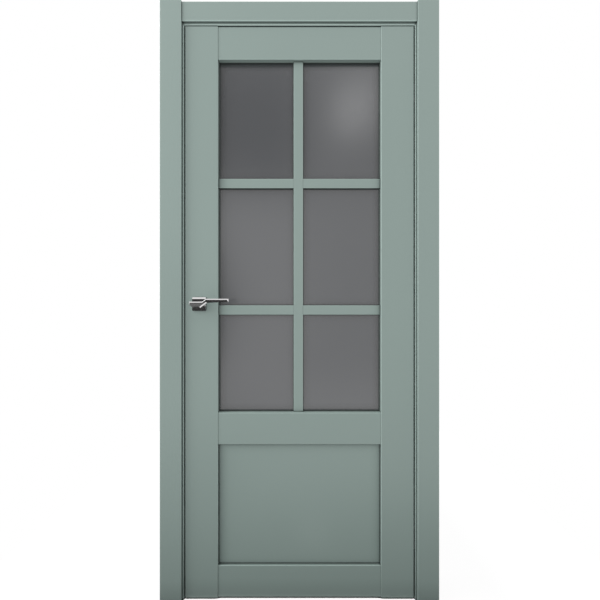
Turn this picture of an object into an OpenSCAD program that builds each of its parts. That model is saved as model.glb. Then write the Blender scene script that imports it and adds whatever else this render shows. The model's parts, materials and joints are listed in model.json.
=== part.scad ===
// Interior door: a framed leaf with six panes over a flat panel, hung in its own frame on concealed hinges.
// Units are millimetres. X runs from the lock side to the hinge side, -Y is the side that the leaf opens to,
// and Z is up. The origin is on the floor, in the middle of the doorway and of the leaf's thickness.

/* [Leaf] */
// Width of the leaf
leaf_w = 800; // [700:10:900]
// Height of the leaf
leaf_h = 2000; // [1950:10:2100]
// Thickness of the leaf at its stiles
leaf_t = 40; // [38:1:44]
// Width of both stiles
stile_w = 114; // [105:1:130]
// Height of the top rail
top_rail_h = 114; // [90:1:140]
// Height of the lock rail, between the glass and the panel
lock_rail_h = 111; // [90:1:140]
// Height of the bottom rail
bottom_rail_h = 110.5; // [90:0.5:180]
// Lower edge of the lock rail above the leaf's bottom edge
lock_rail_z = 535.5; // [450:0.5:600]
// How far the rails lie behind the faces of the stiles
rail_setback = 2; // [1:0.5:3]
// Rounding of the long edges of stiles, rails and bars
arris_r = 1.6; // [0.8:0.2:2.4]
// Diameter of the dowels that join rails to stiles
dowel_d = 10; // [8:1:12]
// Length of those dowels
dowel_l = 80; // [60:2:90]

/* [Glazing and panel] */
// Clear height of each pane in the two upper rows
pane_h = 415; // [380:1:430]
// Width of the mullion and the glazing bars
bar_w = 33; // [28:1:40]
// Shadow gap round the face of the lower panel
panel_gap = 2.5; // [0.5:0.5:4]
// Middle of the mullion, from the leaf's middle towards the hinge side
mullion_x = -4; // [-20:1:20]
// Thickness of the mullion and the glazing bars
bar_t = 20; // [18:1:26]
// Thickness of the glass
glass_t = 4; // [3:1:5]
// How far the glass reaches into its grooves
glass_lap = 7; // [5:0.5:8]
// Width of the grooves for glass and panel
groove_w = 8; // [7:0.5:10]
// Depth of the grooves in stiles and rails
groove_d = 12; // [10:1:14]
// Thickness of a pane gasket behind the edge of the glass
gasket_base = 1.2; // [0.8:0.1:1.4]
// How far a pane gasket shows inside its groove's mouth
gasket_lip = 2; // [0.6:0.2:3]
// Thickness of the lower panel
panel_t = 20; // [14:1:24]
// Depth of the panel's tongue
panel_tongue_d = 10; // [6:1:11]

/* [Frame] */
// Depth of the jambs, which is the thickness of the wall
jamb_depth = 80; // [75:1:82]
// Thickness of the jambs behind the leaf's edge
jamb_t = 34; // [34:1:44]
// How far the stop reaches in behind the leaf
stop_lap = 10; // [9:1:14]
// Gap between the leaf and the jambs
leaf_gap = 4; // [3:0.5:5]
// Gap between the leaf and the floor
floor_gap = 8; // [5:1:15]
// Gap between the leaf's rear face and the stop
seal_gap = 4; // [3.5:0.5:6]
// Width of the seal's bulb
seal_w = 6; // [5:0.5:7]
// Width of the kerf that holds the seal
kerf_w = 3; // [2:0.5:4]
// Depth of that kerf
kerf_d = 8; // [6:1:10]

/* [Architraves] */
// Width of the upright architraves
arch_w = 74; // [60:1:90]
// Height of the head architrave
head_w = 69; // [60:1:90]
// Thickness of the upright architraves
arch_t = 11; // [10:0.5:14]
// How far the head architrave lies behind the uprights
head_setback = 4; // [2:0.5:5]
// Part of a jamb's edge that the upright architrave leaves bare
reveal = 6; // [5:0.5:10]
// Part of the head jamb's edge that the head architrave leaves bare
head_reveal = 8.5; // [5:0.5:12]
// Rounding of the architraves' front edges
arch_r = 1.25; // [1:0.25:3]
// Rounding along the head architrave's edges
head_r = 3.5; // [1:0.25:4]
// Thickness of the tongue that plugs into the jamb
arch_tongue_t = 6; // [5:0.5:7]
// Depth of that tongue
arch_tongue_d = 12; // [8:1:16]
// Wood between the tongue's groove and the jamb's outer face
arch_tongue_edge = 4; // [3:0.5:5]

/* [Handle] */
// Height of the handle above the floor
handle_z = 1036; // [950:1:1100]
// Distance of the spindle from the leaf's edge
backset = 51; // [46:1:56]
// Side of the square rosettes
rosette_w = 47; // [46.5:0.5:56]
// Thickness of the rosettes
rosette_t = 9; // [8:0.5:12]
// Width of the bevels above and below a rosette's face
rosette_bevel_w = 6; // [3:0.5:7]
// Depth of those bevels
rosette_bevel_d = 3; // [1.5:0.5:3.5]
// Wall of the rosette covers
rosette_wall = 1.5; // [1:0.25:2]
// Diameter of the lever's neck
neck_d = 18; // [16:0.5:20]
// How far a lever's front face stands off the leaf
lever_proj = 55; // [48:1:60]
// Thickness of a lever, front to back
lever_t = 12; // [9:0.5:14]
// Length of a lever from the spindle to its tip
lever_l = 114; // [105:1:130]
// How far a lever's block reaches past the spindle
lever_end = 17; // [12:1:18]
// Top of the block above the spindle
block_top = 8.5; // [7:0.5:10]
// Underside of the block, from the spindle
block_foot = -12; // [-13:0.5:-9]
// Top of the grip above the spindle
grip_top = 18; // [14:0.5:20]
// Underside of the grip above the spindle
grip_foot = 4.5; // [1:0.5:6]
// Underside of the grip at its tip, above the spindle
tip_foot = 8; // [3:0.5:8.5]
// Bevel along a lever's edges
lever_bevel = 3.4; // [1.6:0.2:3.8]
// Side of the square spindle
spindle_w = 8; // [7:0.5:9]
// How far the spindle reaches into each neck
spindle_reach = 28; // [22:1:30]
// Diameter of the through bolts
bolt_d = 4; // [3.5:0.5:5]
// Distance between the through bolts
bolt_pitch = 38; // [37:0.5:38.5]

/* [Lock] */
// Thickness of the lock case
case_t = 16; // [15:0.5:18]
// Depth of the lock case behind its faceplate
case_d = 75; // [68:1:80]
// Height of the lock case
case_h = 96; // [92:1:104]
// Width of the lock faceplate
faceplate_w = 20; // [18:1:24]
// Length of the lock faceplate
faceplate_l = 156; // [150:1:180]
// Thickness of the lock faceplate and the hinge plates
plate_t = 3; // [2:0.25:3.5]
// Thickness of the latch bolt
latch_t = 12; // [9:0.5:13]
// Height of the latch bolt
latch_h = 18; // [14:1:20]
// Length of the latch bolt
latch_l = 36; // [30:1:38]
// Height of the latch bolt above the spindle
latch_rise = 32; // [30:1:36]
// Diameter of the follower that the spindle turns
follower_d = 20; // [18:0.5:22]
// Length of the strike plate
strike_l = 96; // [88:1:110]
// Thickness of the strike plate
strike_t = 2; // [1.5:0.25:2.5]
// Depth of the strike box
strike_box_d = 14; // [13:0.5:16]

/* [Hinges] */
// Distance of each hinge's middle from the top or bottom of the leaf
hinge_inset = 220; // [180:5:300]
// Length of a hinge's face plate
hinge_plate_l = 122; // [116:1:130]
// Width of a hinge's face plate
hinge_plate_w = 22; // [22:0.5:24]
// Height of a hinge's cup
hinge_cup_h = 78; // [74:1:84]
// Depth of a hinge's cup
hinge_cup_d = 22; // [22:0.5:23.5]
// Height of the curved arm
arm_h = 60; // [50:1:66]
// Inner radius of the curved arm
arm_r = 16; // [15.5:0.25:16.5]
// Thickness of the curved arm
arm_t = 7.5; // [6:0.25:7.5]
// Half of the angle that the curved arm spans
arm_half_angle = 66; // [64:1:68]

/* [Fasteners] */
// Shank diameter of the countersunk screws
screw_d = 4; // [3.5:0.25:4.5]
// Length of the hinge screws
hinge_screw_l = 30; // [20:1:32]
// Length of the lock and strike screws
lock_screw_l = 25; // [18:1:28]
// Diameter of the screws that join the head jamb to the uprights
frame_screw_d = 5; // [4:0.5:6]
// Length of those screws
frame_screw_l = 80; // [60:2:90]
// Diameter of the holes for fixing the frame to the wall
fixing_d = 7; // [5:0.5:9]
// Distance between the outer fixing holes of a jamb
fixing_outer = 1800; // [1760:10:1820]
// Distance between the inner fixing holes of a jamb
fixing_inner = 800; // [700:10:1000]
// Height of the middle of both pairs of fixing holes
fixing_mid = 1020; // [1000:5:1030]

/* [Hidden] */
$fn = 48;

// Paint, glass, metal and rubber as they look
paint = [0.46, 0.53, 0.51];
smoked = [0.30, 0.31, 0.32];
rubber = [0.08, 0.08, 0.08];
chrome = [0.70, 0.70, 0.71];
steel = [0.55, 0.56, 0.57];
wood = [0.76, 0.62, 0.44];
plastic = [0.12, 0.12, 0.13];

// Clearances: between seated pieces, round sliding and turning pieces, and past a cut face
fit = 0.1;
play = 0.3;
over = 1;

// Room behind a gasket, before a tenon, at both ends of a dowel, round the follower, behind a lever's neck,
// round the latch in its strike, and between grub screw and spindle
groove_room = 0.8;
tenon_room = 1;
dowel_room = 1;
follower_room = 1;
neck_room = 1;
strike_room = 1;
grub_room = 0.6;

// Levels and edges of the leaf
half_w = leaf_w / 2;
half_t = leaf_t / 2;
leaf_bottom = floor_gap;
leaf_top = floor_gap + leaf_h;
rail_t = leaf_t - 2 * rail_setback;
open_x = half_w - stile_w;
bottom_rail_top = leaf_bottom + bottom_rail_h;
lock_rail_bottom = leaf_bottom + lock_rail_z;
lock_rail_top = lock_rail_bottom + lock_rail_h;
top_rail_bottom = leaf_top - top_rail_h;
rails = [
    [leaf_bottom, bottom_rail_h],
    [lock_rail_bottom, lock_rail_h],
    [top_rail_bottom, top_rail_h]
];

// Clear openings of the panes: two columns and three rows
upper_bar = top_rail_bottom - pane_h - bar_w;
lower_bar = upper_bar - pane_h - bar_w;
columns = [[-open_x, mullion_x - bar_w / 2], [mullion_x + bar_w / 2, open_x]];
rows = [
    [upper_bar + bar_w, top_rail_bottom],
    [lower_bar + bar_w, upper_bar],
    [lock_rail_top, lower_bar]
];
gasket_back = glass_lap + gasket_base;
bar_groove_d = gasket_back + groove_room;
web_w = bar_w - 2 * bar_groove_d;
tenon_t = groove_w - 2 * fit;
tenon_l = groove_d - tenon_room;

// Dowels: places across a rail, as shares of its height
dowel_shares = [0.28, 0.72];

// Frame section, in distances out from the leaf's edge and along Y
frame_front = -half_t;
frame_rear = frame_front + jamb_depth;
stop_y = half_t + seal_gap;
jamb_out = leaf_gap + jamb_t;
arch_in = leaf_gap + reveal;
head_in = leaf_gap + head_reveal;
tongue_out = jamb_out - arch_tongue_edge;
tongue_in = tongue_out - arch_tongue_t;
seal_mid = (leaf_gap - stop_lap) / 2;
jamb_arris = 4;
jamb_h = leaf_top + jamb_out;
arch_h = leaf_top + head_in + head_w;

// Handle and lock places
spindle_x = backset - half_w;
latch_z = handle_z + latch_rise;
case_mid = handle_z + latch_rise / 3;
socket_w = spindle_w + 2 * fit;
neck_base = half_t + neck_room;
lever_face = half_t + lever_proj;
lever_back = lever_face - lever_t;
spindle_end = half_t + rosette_t + spindle_reach;
bolt_reach = 3;
bolt_end = half_t + bolt_reach;
rosette_front_t = rosette_bevel_d + rosette_wall;
base_t = rosette_t - rosette_front_t - play;
grub_d = 5;
grub_l = (neck_d - spindle_w) / 2 - grub_room;
strike_w = faceplate_w;
strike_box_wall = 1.5;
magnet_t = 3;
strike_floor = strike_box_wall - half_w - leaf_gap - strike_t - strike_box_d;
stile_bore_d = follower_d + 2 * follower_room;
strike_hollow_w = latch_t + 2 * play + 2 * strike_room;
strike_hollow_h = latch_h + 2 * play + 2 * strike_room;
latch_corner = 1;
rosette_corner = 2;
base_corner = 1;

// Hinges turn about a line in the gap, in the plane of the leaf's front face
hinge_x = half_w + leaf_gap / 2;
hinge_y = -half_t;
hinge_levels = [leaf_top - hinge_inset, leaf_bottom + hinge_inset];
arm_out = arm_r + arm_t;
track_room = 2;
track_exit = 100;
track_wall = 1.3;
track_start = 90 - arm_half_angle - track_room;
hinge_plate_y = (arm_r - play) * sin(track_start) - track_wall;
hinge_screw_at = (hinge_cup_h + hinge_plate_l) / 4;
frame_screw_y = [0, (stop_y + frame_rear) / 2];

// Box between two corners
module block(low, high) {
    translate(low) cube(high - low);
}

// Rectangle from the origin with four round corners
module soft_rect(w, h, r) {
    translate([r, 0]) square([w - 2 * r, h]);
    translate([0, r]) square([w, h - 2 * r]);
    for (x = [r, w - r], y = [r, h - r]) translate([x, y]) circle(r);
}

// Flat plate outline with two half-round ends, long in Y
module stadium(w, l) {
    translate([-w / 2, (w - l) / 2]) square([w, l - w]);
    for (side = [-1, 1]) translate([0, side * (l - w) / 2]) circle(w / 2);
}

// What is cut away to round a corner at the origin, with the solid in the first quadrant
module corner_cut(r) {
    difference() {
        translate([-over, -over]) square(r + over);
        translate([r, r]) circle(r);
    }
}

// Carries an outline in (Y, Z) along X
module along_x(length) {
    rotate([90, 0, 90]) linear_extrude(length) children();
}

// Carries an outline in (X, Z) along Y, from one Y to another
module along_y(from, to) {
    translate([0, to, 0]) rotate([90, 0, 0]) linear_extrude(to - from) children();
}

// Countersunk screw or its hole, with its head at the origin and its point along X
module screw(d, l, gap = 0) {
    head_d = 2 * d + 2 * gap;
    shank_d = d + 2 * gap;
    rotate([0, 90, 0]) {
        cylinder(h = d / 2, d1 = head_d, d2 = shank_d);
        cylinder(h = l + gap, d = shank_d);
        if (gap > 0) translate([0, 0, -over]) cylinder(h = over, d = head_d);
    }
}

// Shows its children on the hinge side for 1 and on the lock side for -1
module on_side(side) {
    if (side > 0) children();
    else mirror([1, 0, 0]) children();
}

// Groove along a stile's inner edge beside one opening
module stile_groove(low, high) {
    block([open_x - over, -groove_w / 2, low - groove_d], [open_x + groove_d, groove_w / 2, high + groove_d]);
}

// Dowels of the hinge side, or their bores
module side_dowels(gap = 0) {
    length = dowel_l + (gap > 0 ? dowel_room : 0);
    for (rail = rails, share = dowel_shares)
        translate([open_x - length / 2, 0, rail[0] + share * rail[1]])
            rotate([0, 90, 0]) cylinder(h = length, d = dowel_d + 2 * gap);
}

// Plain stile of the hinge side with its grooves and dowel bores
module stile_blank() {
    difference() {
        translate([open_x, -half_t, leaf_bottom]) linear_extrude(leaf_h) soft_rect(stile_w, leaf_t, arris_r);
        stile_groove(lock_rail_top, top_rail_bottom);
        stile_groove(bottom_rail_top, lock_rail_bottom);
        side_dowels(fit);
    }
}

module lock_stile() {
    color(paint) difference() {
        on_side(-1) stile_blank();
        translate([-half_w - over, 0, case_mid])
            along_x(plate_t + fit + over) stadium(faceplate_w + 2 * fit, faceplate_l + 2 * fit);
        block(
            [-half_w, -case_t / 2 - fit, case_mid - case_h / 2 - fit],
            [plate_t + case_d + fit - half_w, case_t / 2 + fit, case_mid + case_h / 2 + fit]
        );
        translate([spindle_x, 0, handle_z]) along_y(-half_t - over, half_t + over) circle(d = stile_bore_d);
        for (side = [-1, 1])
            translate([spindle_x + side * bolt_pitch / 2, 0, handle_z])
                along_y(-half_t - over, half_t + over) circle(d = bolt_d + 2 * play);
        lock_screw_set(fit);
    }
}

module hinge_stile() {
    color(paint) difference() {
        stile_blank();
        for (z = hinge_levels) at_hinge(z) on_side(-1) hinge_pocket();
        hinge_screw_set(-1, fit);
    }
}

// Groove along the whole of a rail, between two levels
module rail_groove(low, high) {
    block([-open_x - over, -groove_w / 2, low], [open_x + over, groove_w / 2, high]);
}

// Rail with round long edges, bores for its dowels and a groove along each edge that faces an opening
module rail(low, high, groove_top, groove_bottom) {
    color(paint) difference() {
        translate([-open_x, -rail_t / 2, low]) along_x(2 * open_x) soft_rect(rail_t, high - low, arris_r);
        if (groove_top) rail_groove(high - groove_d, high + over);
        if (groove_bottom) rail_groove(low - over, low + groove_d);
        for (side = [-1, 1]) on_side(side) side_dowels(fit);
    }
}

module top_rail() { rail(top_rail_bottom, leaf_top, false, true); }
module lock_rail() { rail(lock_rail_bottom, lock_rail_top, true, true); }
module bottom_rail() { rail(leaf_bottom, bottom_rail_top, true, false); }

module rail_dowels() {
    color(wood) for (side = [-1, 1]) on_side(side) side_dowels();
}

// Slab over the opening below the lock rail, grown on all four edges
module panel_slab(grow, t) {
    block(
        [-open_x - grow, -t / 2, bottom_rail_top - grow],
        [open_x + grow, t / 2, lock_rail_bottom + grow]
    );
}

// Flat panel with a tongue on all four edges
module lower_panel() {
    color(paint) {
        panel_slab(-panel_gap, panel_t);
        panel_slab(panel_tongue_d, tenon_t);
    }
}

// Outline of the mullion and the bars: round edges, and a groove on both sides for the glass
module bar_section() {
    difference() {
        translate([-bar_w / 2, -bar_t / 2]) soft_rect(bar_w, bar_t, arris_r);
        for (side = [-1, 1])
            translate([side * (bar_w / 2 + over) - (side > 0 ? bar_groove_d + over : 0), -groove_w / 2])
                square([bar_groove_d + over, groove_w]);
    }
}

// The mullion stands on the lock rail, with stub tenons in the grooves of both rails
module mullion() {
    color(paint) translate([mullion_x, 0, 0]) {
        translate([0, 0, lock_rail_top]) linear_extrude(top_rail_bottom - lock_rail_top) bar_section();
        block(
            [-web_w / 2, -tenon_t / 2, lock_rail_top - tenon_l],
            [web_w / 2, tenon_t / 2, top_rail_bottom + tenon_l]
        );
    }
}

// One bar from a stile to the mullion, with stub tenons in their grooves
module glazing_bar(low, side) {
    start = bar_w / 2 + side * mullion_x;
    color(paint) on_side(side) translate([0, 0, low + bar_w / 2]) {
        translate([start, 0, 0]) along_x(open_x - start) mirror([1, -1]) bar_section();
        block(
            [start - bar_groove_d + fit, -tenon_t / 2, -web_w / 2],
            [open_x + tenon_l, tenon_t / 2, web_w / 2]
        );
    }
}

module bar_upper_lock_side() { glazing_bar(upper_bar, -1); }
module bar_upper_hinge_side() { glazing_bar(upper_bar, 1); }
module bar_lower_lock_side() { glazing_bar(lower_bar, -1); }
module bar_lower_hinge_side() { glazing_bar(lower_bar, 1); }

// Slab over one clear opening, grown on all four edges
module pane_slab(column, row, grow, t) {
    block(
        [columns[column][0] - grow, -t / 2, rows[row][0] - grow],
        [columns[column][1] + grow, t / 2, rows[row][1] + grow]
    );
}

module pane(column, row) { color(smoked) pane_slab(column, row, glass_lap, glass_t); }

module pane_top_lock_side() { pane(0, 0); }
module pane_top_hinge_side() { pane(1, 0); }
module pane_middle_lock_side() { pane(0, 1); }
module pane_middle_hinge_side() { pane(1, 1); }
module pane_bottom_lock_side() { pane(0, 2); }
module pane_bottom_hinge_side() { pane(1, 2); }

// Channel gasket round the edge of each pane
module pane_gaskets() {
    color(rubber) for (column = [0, 1], row = [0, 1, 2])
        difference() {
            pane_slab(column, row, gasket_back, tenon_t);
            pane_slab(column, row, glass_lap + fit, glass_t + fit);
            pane_slab(column, row, -gasket_lip, 2 * groove_w);
        }
}

// Section of a jamb: rebate, stop, grooves for both architraves and a kerf for the seal
module jamb_section() {
    difference() {
        polygon([
            [leaf_gap, frame_front], [jamb_out, frame_front], [jamb_out, frame_rear],
            [-stop_lap, frame_rear], [-stop_lap, stop_y], [leaf_gap, stop_y]
        ]);
        for (face = [frame_front - over, frame_rear - arch_tongue_d - fit])
            translate([tongue_in - fit, face]) square([arch_tongue_t + 2 * fit, arch_tongue_d + fit + over]);
        translate([seal_mid - kerf_w / 2, stop_y - over]) square([kerf_w, kerf_d + over]);
        translate([leaf_gap, frame_front]) corner_cut(jamb_arris);
        translate([-stop_lap, frame_rear]) mirror([0, 1]) corner_cut(jamb_arris);
    }
}

// Upright jamb of the hinge side with its wall fixing holes and the bores for the head jamb's screws
module jamb_blank() {
    difference() {
        translate([half_w, 0, 0]) linear_extrude(jamb_h) jamb_section();
        for (pitch = [fixing_outer, fixing_inner], end = [-1, 1])
            translate([half_w, 0, fixing_mid + end * pitch / 2])
                rotate([0, 90, 0]) cylinder(h = jamb_out + over, d = fixing_d);
        side_frame_screws(fit);
    }
}

module jamb_lock_side() {
    color(paint) difference() {
        on_side(-1) jamb_blank();
        translate([-half_w - leaf_gap - strike_t - fit, 0, latch_z])
            along_x(strike_t + fit + over) stadium(strike_w + 2 * fit, strike_l + 2 * fit);
        strike_box_block(fit, over);
        strike_screw_set(fit);
    }
}

module jamb_hinge_side() {
    color(paint) difference() {
        jamb_blank();
        for (z = hinge_levels) at_hinge(z) hinge_pocket();
        hinge_screw_set(1, fit);
    }
}

// The head lies between the uprights and is notched round their stops
module jamb_head() {
    color(paint) difference() {
        translate([-half_w - leaf_gap, 0, leaf_top])
            along_x(leaf_w + 2 * leaf_gap) mirror([1, -1]) jamb_section();
        for (side = [-1, 1]) on_side(side) {
            block(
                [half_w - stop_lap, stop_y, leaf_top - stop_lap - over],
                [half_w + leaf_gap + over, frame_rear + over, leaf_top + jamb_out + over]
            );
            side_frame_screws(fit);
        }
    }
}

// Two screws from the outside of the hinge-side upright into the end of the head
module side_frame_screws(gap = 0) {
    for (y = frame_screw_y)
        translate([half_w + jamb_out, y, leaf_top + (leaf_gap + jamb_out) / 2])
            mirror([1, 0, 0]) screw(frame_screw_d, frame_screw_l, gap);
}

module frame_screws() {
    color(steel) for (side = [-1, 1]) on_side(side) side_frame_screws();
}

// Section of the seal: a stem in the kerf and a flat bulb against the leaf
module seal_section() {
    bulb_t = seal_gap - play;
    translate([seal_mid - kerf_w / 2 + fit, stop_y - over]) square([kerf_w - 2 * fit, kerf_d - fit + over]);
    translate([seal_mid - seal_w / 2, stop_y - bulb_t]) soft_rect(seal_w, bulb_t, bulb_t / 3);
}

module side_seal(side) {
    color(rubber) on_side(side) translate([half_w, 0, 0])
        linear_extrude(leaf_top + leaf_gap - fit) seal_section();
}

module seal_lock_side() { side_seal(-1); }
module seal_hinge_side() { side_seal(1); }

module seal_head() {
    length = leaf_w - 2 * stop_lap - 2 * fit;
    color(rubber) translate([-length / 2, 0, leaf_top]) along_x(length) mirror([1, -1]) seal_section();
}

// Section of an architrave: a board with round front edges
module arch_board(inner, w, t, r) {
    translate([inner, frame_front - t]) difference() {
        square([w, t]);
        corner_cut(r);
        translate([w, 0]) mirror([1, 0]) corner_cut(r);
    }
}

// The tongue that plugs the architrave into the jamb's edge
module arch_tongue() {
    translate([tongue_in, frame_front]) square([arch_tongue_t, arch_tongue_d]);
}

// Turns front architraves into rear ones
module on_face(rear) {
    if (rear) translate([0, frame_front + frame_rear, 0]) mirror([0, 1, 0]) children();
    else children();
}

module side_architrave(side, rear) {
    color(paint) on_face(rear) on_side(side) translate([half_w, 0, 0]) {
        linear_extrude(arch_h) arch_board(arch_in, arch_w, arch_t, arch_r);
        linear_extrude(jamb_h) arch_tongue();
    }
}

module head_architrave(rear) {
    length = leaf_w + 2 * arch_in;
    tongue_l = leaf_w + 2 * (rear ? -stop_lap : leaf_gap) - 2 * fit;
    color(paint) on_face(rear) translate([0, 0, leaf_top]) {
        translate([-length / 2, 0, 0])
            along_x(length) mirror([1, -1]) arch_board(head_in, head_w, arch_t - head_setback, head_r);
        translate([-tongue_l / 2, 0, 0]) along_x(tongue_l) mirror([1, -1]) arch_tongue();
    }
}

module architrave_front_lock_side() { side_architrave(-1, false); }
module architrave_front_hinge_side() { side_architrave(1, false); }
module architrave_front_head() { head_architrave(false); }
module architrave_rear_lock_side() { side_architrave(-1, true); }
module architrave_rear_hinge_side() { side_architrave(1, true); }
module architrave_rear_head() { head_architrave(true); }

// Places its children on the hinge line, with the jamb on the +X side
module at_hinge(z) {
    translate([hinge_x, hinge_y, z]) children();
}

// Face plate and cup of a hinge half on the jamb's side, or the pocket for them
module hinge_body(gap = 0) {
    face = leaf_gap / 2;
    mid_y = hinge_plate_y + hinge_plate_w / 2;
    cut = gap > 0 ? over : 0;
    translate([face - cut, mid_y, 0])
        along_x(plate_t + gap + cut) stadium(hinge_plate_w + 2 * gap, hinge_plate_l + 2 * gap);
    block(
        [face, hinge_plate_y - gap, -hinge_cup_h / 2 - gap],
        [face + hinge_cup_d + gap, hinge_plate_y + hinge_plate_w + gap, hinge_cup_h / 2 + gap]
    );
}

module hinge_pocket() { hinge_body(fit); }

// Ring sector about the hinge line, between two angles
module ring_sector(r_in, r_out, from, to, h) {
    reach = 3 * r_out;
    mid = (from + to) / 2;
    translate([0, 0, -h / 2]) linear_extrude(h) intersection() {
        difference() {
            circle(r_out);
            circle(r_in);
        }
        polygon([
            [0, 0], reach * [cos(from), sin(from)], reach * [cos(mid), sin(mid)], reach * [cos(to), sin(to)]
        ]);
    }
}

// Hinge half: a cup with a curved track for the arm, 1 on the jamb and -1 on the leaf
module hinge_cup(z, side) {
    color(steel) difference() {
        at_hinge(z) on_side(side) difference() {
            hinge_body();
            ring_sector(arm_r - play, arm_out + play, track_start, track_exit, arm_h + 2 * play);
        }
        hinge_screw_set(side, fit);
    }
}

module hinge_jamb_cup_upper() { hinge_cup(hinge_levels[0], 1); }
module hinge_jamb_cup_lower() { hinge_cup(hinge_levels[1], 1); }
module hinge_leaf_cup_upper() { hinge_cup(hinge_levels[0], -1); }
module hinge_leaf_cup_lower() { hinge_cup(hinge_levels[1], -1); }

// Screws of both hinges on one side
module hinge_screw_set(side, gap = 0) {
    for (z = hinge_levels, end = [-1, 1])
        at_hinge(z) on_side(side)
            translate([leaf_gap / 2, hinge_plate_y + hinge_plate_w / 2, end * hinge_screw_at])
                screw(screw_d, hinge_screw_l, gap);
}

module hinge_jamb_screws() { color(steel) hinge_screw_set(1); }
module hinge_leaf_screws() { color(steel) hinge_screw_set(-1); }

// Ring sector of the arm, to both sides of the gap's middle
module arm_sector(half_angle, grow, h) {
    ring_sector(arm_r - grow, arm_out + grow, 90 - half_angle, 90 + half_angle, h);
}

// Curved arm with a window, turning in the tracks of both cups
module hinge_arm(z) {
    color(steel) at_hinge(z) difference() {
        arm_sector(arm_half_angle, 0, arm_h);
        arm_sector(arm_half_angle / 2, over, arm_h / 3);
    }
}

module hinge_arm_upper() { hinge_arm(hinge_levels[0]); }
module hinge_arm_lower() { hinge_arm(hinge_levels[1]); }

// Channel for the latch bolt, from the leaf's edge to a depth
module latch_channel(depth) {
    block(
        [-half_w - over, -latch_t / 2 - play, latch_z - latch_h / 2 - play],
        [depth - half_w, latch_t / 2 + play, latch_z + latch_h / 2 + play]
    );
}

// Lock case with a channel for the latch bolt, a bore for the follower and two bolt holes
module lock_case() {
    face = plate_t - half_w;
    color(steel) difference() {
        block([face, -case_t / 2, case_mid - case_h / 2], [face + case_d, case_t / 2, case_mid + case_h / 2]);
        latch_channel(latch_l + play);
        translate([spindle_x, 0, handle_z]) along_y(-case_t, case_t) circle(d = follower_d + fit);
        for (side = [-1, 1])
            translate([spindle_x + side * bolt_pitch / 2, 0, handle_z])
                along_y(-case_t, case_t) circle(d = bolt_d + 2 * fit);
    }
}

// Two screws through the ends of the lock faceplate
module lock_screw_set(gap = 0) {
    for (end = [-1, 1])
        translate([-half_w, 0, case_mid + end * (faceplate_l + case_h) / 4])
            screw(screw_d, lock_screw_l, gap);
}

module lock_faceplate() {
    color(steel) difference() {
        translate([-half_w, 0, case_mid]) along_x(plate_t) stadium(faceplate_w, faceplate_l);
        latch_channel(plate_t + over);
        lock_screw_set(fit);
    }
}

module lock_screws() { color(steel) lock_screw_set(); }

// Magnetic latch bolt, drawn in flush with the faceplate
module latch_bolt() {
    color(chrome) translate([-half_w, -latch_t / 2, latch_z - latch_h / 2])
        along_x(latch_l) soft_rect(latch_t, latch_h, latch_corner);
}

// Outside of the strike box, or its pocket
module strike_box_block(gap = 0, cut = 0) {
    face = half_w + leaf_gap + strike_t;
    side = strike_hollow_w / 2 + strike_box_wall + gap;
    rise = strike_hollow_h / 2 + strike_box_wall + gap;
    block([-face - strike_box_d - gap, -side, latch_z - rise], [cut - face, side, latch_z + rise]);
}

// Opening for the latch bolt, from the strike plate to the floor of the strike box
module strike_hollow() {
    block(
        [strike_floor, -strike_hollow_w / 2, latch_z - strike_hollow_h / 2],
        [over - half_w - leaf_gap, strike_hollow_w / 2, latch_z + strike_hollow_h / 2]
    );
}

module strike_box() {
    color(plastic) difference() {
        strike_box_block();
        strike_hollow();
    }
}

module strike_magnet() {
    color(steel) block(
        [strike_floor, -latch_t / 2, latch_z - latch_h / 2],
        [strike_floor + magnet_t, latch_t / 2, latch_z + latch_h / 2]
    );
}

// Two screws through the ends of the strike plate
module strike_screw_set(gap = 0) {
    for (end = [-1, 1])
        translate([-half_w - leaf_gap, 0, latch_z + end * (strike_l / 2 - strike_w / 2)])
            mirror([1, 0, 0]) screw(screw_d, lock_screw_l, gap);
}

module strike_plate() {
    color(steel) difference() {
        translate([-half_w - leaf_gap - strike_t, 0, latch_z]) along_x(strike_t) stadium(strike_w, strike_l);
        strike_hollow();
        strike_screw_set(fit);
    }
}

module strike_screws() { color(steel) strike_screw_set(); }

// Places its children on the spindle's axis, on the front face or mirrored onto the rear one
module at_handle(rear) {
    translate([spindle_x, 0, handle_z])
        if (rear) mirror([0, 1, 0]) children();
        else children();
}

// Square outline with round corners, centred
module rosette_outline(w, r) {
    translate([-w / 2, -w / 2]) soft_rect(w, w, r);
}

// What is cut off the upper edge of a rosette's face
module rosette_bevel() {
    face = -half_t - rosette_t;
    edge = rosette_w / 2;
    translate([-rosette_w, 0, 0]) along_x(2 * rosette_w) polygon([
        [face, edge - rosette_bevel_w], [face + rosette_bevel_d, edge], [face + rosette_bevel_d, edge + over],
        [face - over, edge + over], [face - over, edge - rosette_bevel_w]
    ]);
}

// Square cover over the base, bevelled above and below its face, with a bore for the lever's neck
module rosette(rear) {
    inner_w = rosette_w - 2 * rosette_wall;
    color(chrome) at_handle(rear) difference() {
        along_y(-half_t - rosette_t, -half_t) rosette_outline(rosette_w, rosette_corner);
        along_y(rosette_front_t - half_t - rosette_t, over - half_t) rosette_outline(inner_w, base_corner);
        for (turn = [0, 180]) rotate([0, turn, 0]) rosette_bevel();
        along_y(-half_t - rosette_t - over, -half_t) circle(d = neck_d + 2 * play);
    }
}

module rosette_front() { rosette(false); }
module rosette_rear() { rosette(true); }

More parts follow.
